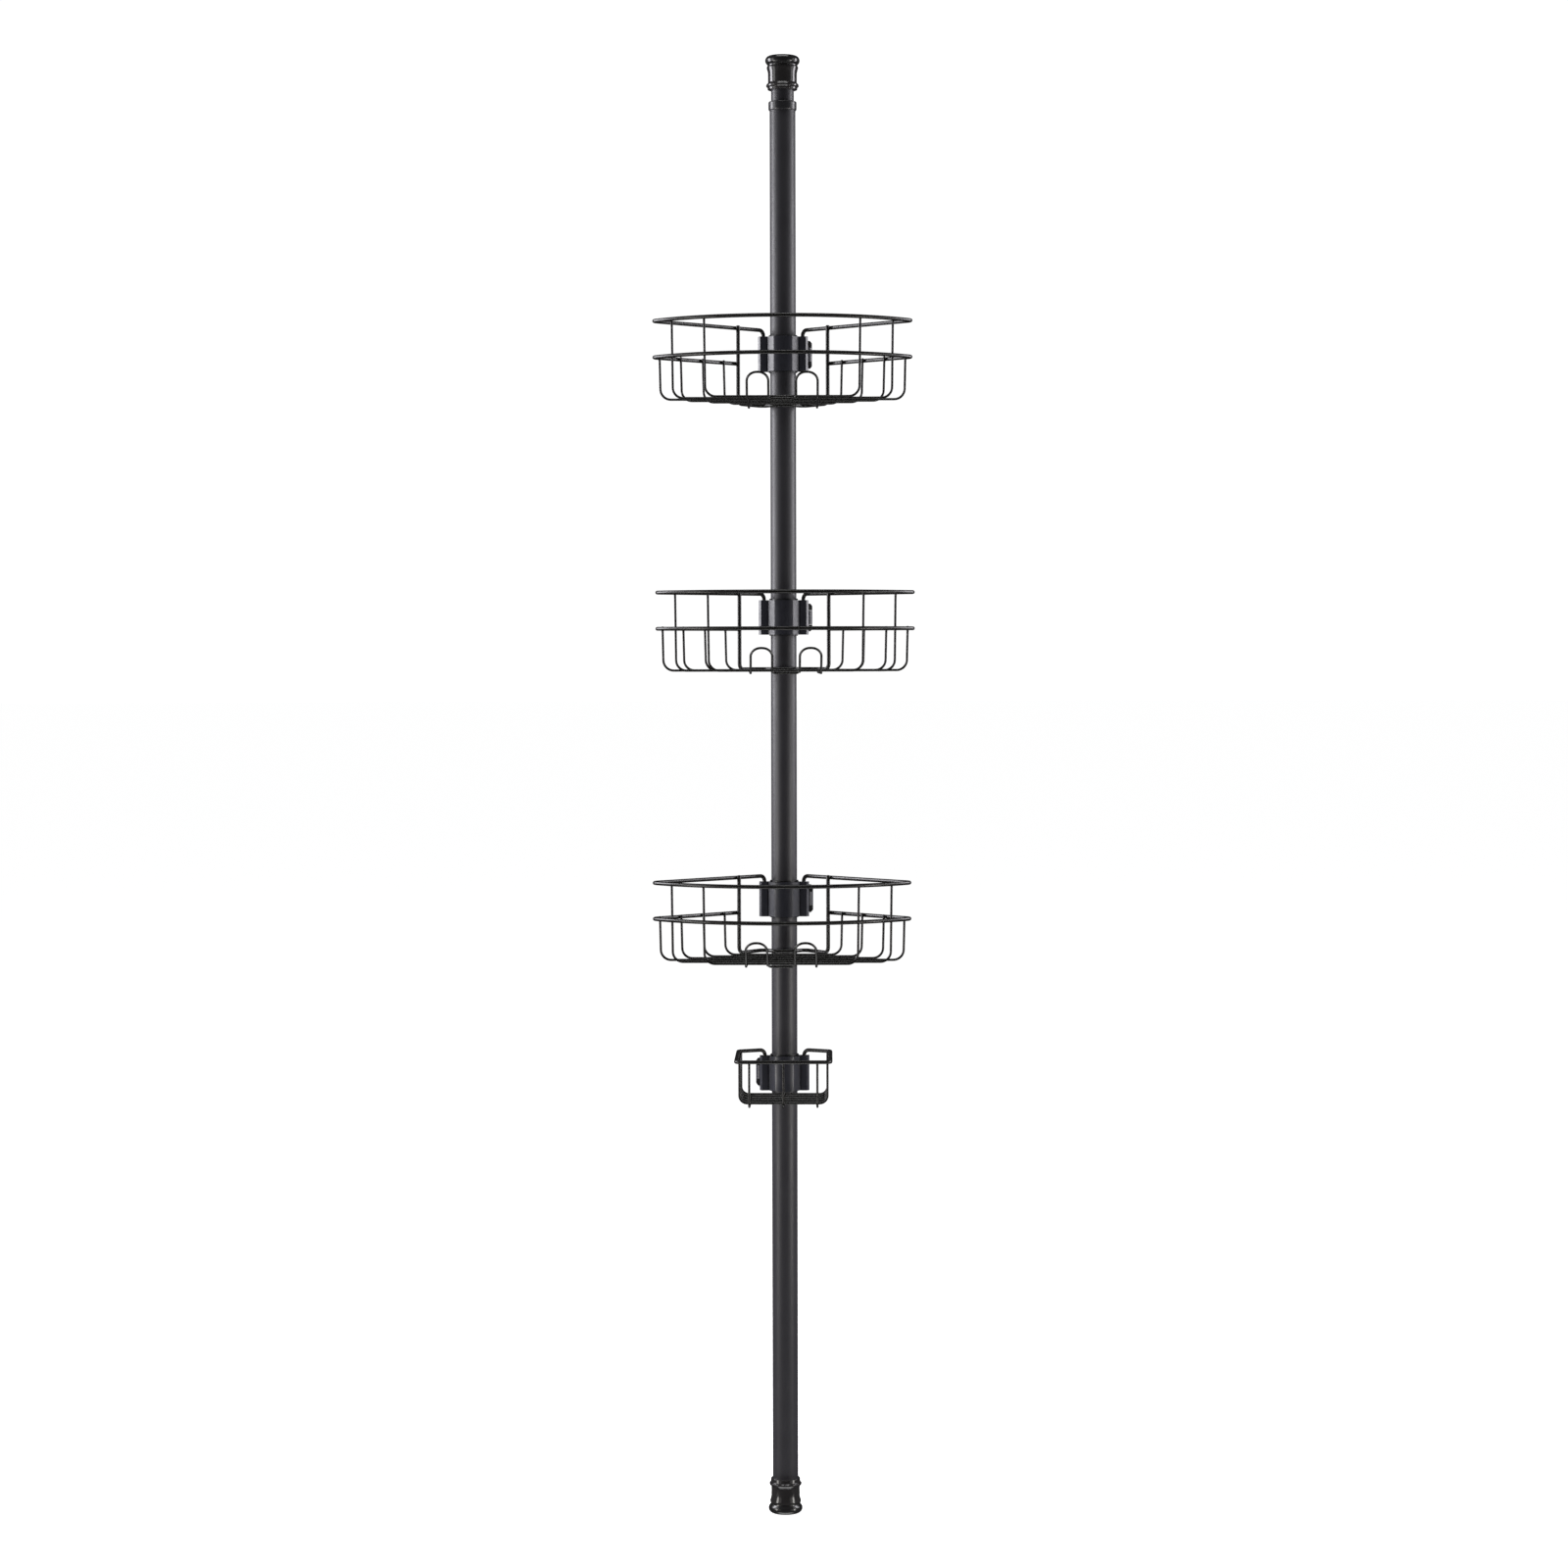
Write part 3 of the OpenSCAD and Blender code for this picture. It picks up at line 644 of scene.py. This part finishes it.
def basket(station):
    body = station + "_basket"
    made = [
        ("top_rail", [top_rail_path()], RAIL_R, 16),
        ("mid_rail", [mid_rail_path()], RAIL_R, 16),
        ("front_wires", [u_wire(w, inner_f(w), RAIL_Z + FRONT_PROUD)
                         for w in (FRONT_W, SIDE_W)], THIN_R, 12),
        ("rear_wires", [u_wire(w, rear_f(w), MID_Z + REAR_PROUD) for w in REAR_W], THIN_R, 12),
        ("saddle_wire", [saddle_path()], RAIL_R, 16),
        ("hook_wire", [hook_path()], THIN_R, 12),
    ]
    for part, paths, radius, sides in made:
        node = f"{station}_{part}"
        wires(node + "_coated", paths, radius, station, body, [node], sides)
    bm = bmesh.new()
    basket_welds(bm)
    place(bm, station)
    link_piece(station + "_welds", bm, body, "wire_coat")


for key in ("upper", "middle", "lower"):
    basket(key)


# ------------------------------------------------------------------ soap dish
def dish():
    x, f, z = DISH_X, DISH_F, RAIL_Z
    top = z + DISH_PROUD
    left = [(-SOCKET_X, -SOCKET_F, SOCKET_FLOOR + 0.05), (-SOCKET_X, -SOCKET_F, z),
            (-x, -DISH_REAR_F, z), (-x, -f, z)]
    right = [(-px, py, pz) for px, py, pz in reversed(left)]
    rim = rounded(left + right, [0, SOCKET_BEND, 6, 6, 6, 6, SOCKET_BEND, 0])
    w = x - RAIL_R - THIN_R + SINK
    rows = [rounded([(-w, -r, top), (-w, -r, DISH_FLOOR), (w, -r, DISH_FLOOR), (w, -r, top)],
                    [0, 8, 8, 0]) for r in DISH_ROWS]
    ff = f - RAIL_R - THIN_R + SINK
    zb = DISH_FLOOR - 2 * THIN_R + SINK
    columns = [rounded([(c, -ff, top), (c, -ff, zb), (c, -DISH_TAIL_F, zb)], [0, 5, 0])
               for c in DISH_COLUMNS]
    wires("dish_rim_coated", [rim], RAIL_R, "dish", "soap_dish", ["dish_rim"], 16)
    wires("dish_floor_wires_coated", rows, THIN_R, "dish", "soap_dish", ["dish_floor_wires"], 12)
    wires("dish_front_wires_coated", columns, THIN_R, "dish", "soap_dish", ["dish_front_wires"], 12)
    bm = bmesh.new()
    for r in DISH_ROWS:
        for s in (-1, 1):
            nugget(bm, Vector((s * (w + THIN_R), -r, z)), UP, BACK, WIRE_WELD)
        for c in DISH_COLUMNS:
            nugget(bm, Vector((c, -r, DISH_FLOOR - THIN_R)), SIDEWAYS, BACK, FLOOR_WELD)
    for c in DISH_COLUMNS:
        nugget(bm, Vector((c, -ff - THIN_R, z)), UP, SIDEWAYS, WIRE_WELD)
    place(bm, "dish")
    link_piece("dish_welds", bm, "soap_dish", "wire_coat")


dish()


# ------------------------------------------------------------------ CAD nodes kept
def soften(obj, width, angle=35):
    """Rounds a kept CAD part's edges without changing its mesh."""
    weld = obj.modifiers.new("weld", "WELD")
    weld.merge_threshold = 0.000002
    flat = obj.modifiers.new("planar", "DECIMATE")
    flat.decimate_type = "DISSOLVE"
    flat.angle_limit = math.radians(1.0)
    bevel = obj.modifiers.new("bevel", "BEVEL")
    bevel.width = width
    bevel.segments = 3
    bevel.limit_method = "ANGLE"
    bevel.angle_limit = math.radians(angle)
    bevel.use_clamp_overlap = True
    weighted = obj.modifiers.new("weighted", "WEIGHTED_NORMAL")
    weighted.keep_sharp = False
    weighted.weight = 60


slots = {s["node"]: s["material_slot"] for s in frame["record"]["subparts"]}
for name, obj in NODES.items():
    obj.data.materials.clear()
    obj.data.materials.append(MATERIALS[slots[name]])
    if name.endswith(("_clamp_front", "_clamp_back")):
        soften(obj, 0.0005, 11)
    elif name.endswith("_lever"):
        soften(obj, 0.0005)
    elif name.endswith("_liner"):
        soften(obj, 0.00012)


# ------------------------------------------------------------------ stage
def emission_material(name, colour, strength):
    mat = bpy.data.materials.new(name)
    mat.use_nodes = True
    tree = mat.node_tree
    shader = tree.nodes["Principled BSDF"]
    grain = noise(tree, 3.0, 3.0)
    tint = blend_colours(tree, spread(tree, grain, 0, 1), colour, tuple(c * 0.99 for c in colour))
    tree.links.new(tint, shader.inputs["Base Color"])
    shader.inputs["Roughness"].default_value = 0.9
    shader.inputs["Emission Color"].default_value = (1, 1, 1, 1)
    shader.inputs["Emission Strength"].default_value = strength
    return mat


bm = bmesh.new()
bmesh.ops.create_circle(bm, cap_ends=True, segments=96, radius=60)
mesh = bpy.data.meshes.new("floor")
bm.to_mesh(mesh)
bm.free()
floor = bpy.data.objects.new("floor", mesh)
bpy.context.scene.collection.objects.link(floor)
floor.location.z = cad_low.z - 0.0002
mesh.materials.append(emission_material("floor_pale", (0.9, 0.9, 0.9), 0.97))
floor.visible_glossy = False
floor.visible_diffuse = False
floor.visible_shadow = False


def softbox(name, azimuth, distance, height, width, tall, power, colour=(1, 1, 1), aim_z=None):
    """Area light round the pole; azimuth 0 is the camera's side, positive to the right."""
    a = math.radians(azimuth)
    data = bpy.data.lights.new(name, "AREA")
    data.shape = "RECTANGLE"
    data.size = width
    data.size_y = tall
    data.energy = power
    data.color = colour
    obj = bpy.data.objects.new(name, data)
    bpy.context.scene.collection.objects.link(obj)
    obj.location = (distance * math.sin(a), -distance * math.cos(a), height)
    aim = Vector((0, 0, height if aim_z is None else aim_z)) - obj.location
    obj.rotation_euler = aim.to_track_quat("-Z", "Y").to_euler()
    obj.visible_camera = False
    return obj


# The keys and fills light the pole's sides and leave its middle dark. The last two lights
# stand almost in line with the pole, so they mostly light the level wires. The bounce is
# under the floor, which shadow, diffuse and glossy rays pass through.
softbox("left_key", -100, 1.9, 1.45, 0.75, 1.5, 43.5, (0.965, 0.955, 1.0))
softbox("left_fill", -70, 1.9, 1.45, 0.50, 1.5, 7)
softbox("right_key", 102, 1.9, 1.45, 0.60, 1.5, 26.5, (0.98, 0.96, 1.0))
softbox("right_fill", 78, 1.9, 1.45, 0.40, 1.5, 4)
softbox("left_low", -64, 1.9, 0.25, 0.45, 1.0, 13, (1.0, 0.97, 0.93))
softbox("left_low_fill", -42, 1.9, 0.25, 0.45, 1.0, 1.3, (1.0, 0.97, 0.93))
softbox("right_low", 64, 1.9, 0.25, 0.40, 1.0, 13, (1.0, 0.97, 0.93))
softbox("right_low_fill", 44, 1.9, 0.25, 0.45, 1.0, 1.3, (1.0, 0.97, 0.93))
softbox("overhead", 0, 0.45, 4.4, 2.4, 1.0, 50, aim_z=-6)
softbox("floor_bounce", 0, 0.45, -1.8, 2.4, 1.0, 33, aim_z=6)

# white to the camera only; every other ray meets the dim background
world = bpy.data.worlds.new("studio")
bpy.context.scene.world = world
world.use_nodes = True
tree = world.node_tree
tree.nodes.clear()
out = tree.nodes.new("ShaderNodeOutputWorld")
mix = tree.nodes.new("ShaderNodeMixShader")
path = tree.nodes.new("ShaderNodeLightPath")
dim = tree.nodes.new("ShaderNodeBackground")
dim.inputs["Color"].default_value = (0.95, 0.97, 1.0, 1)
dim.inputs["Strength"].default_value = 0.03
white = tree.nodes.new("ShaderNodeBackground")
white.inputs["Color"].default_value = (1, 1, 1, 1)
white.inputs["Strength"].default_value = 1.05
tree.links.new(path.outputs["Is Camera Ray"], mix.inputs[0])
tree.links.new(dim.outputs[0], mix.inputs[1])
tree.links.new(white.outputs[0], mix.inputs[2])
tree.links.new(mix.outputs[0], out.inputs["Surface"])

# ------------------------------------------------------------------ camera
camera_data = bpy.data.cameras.new("camera")
camera_data.lens = 83.5
camera_data.sensor_width = 36
camera_data.clip_end = 200
camera = bpy.data.objects.new("camera", camera_data)
bpy.context.scene.collection.objects.link(camera)
camera.matrix_world = (Matrix.Translation((0.0, -3.8055, 0.9109))
                       @ Matrix.Rotation(math.radians(90 - 2.14), 4, "X")
                       @ Matrix.Rotation(math.radians(-0.13), 4, "Z"))
bpy.context.scene.camera = camera
bpy.context.scene.view_settings.view_transform = "Standard"
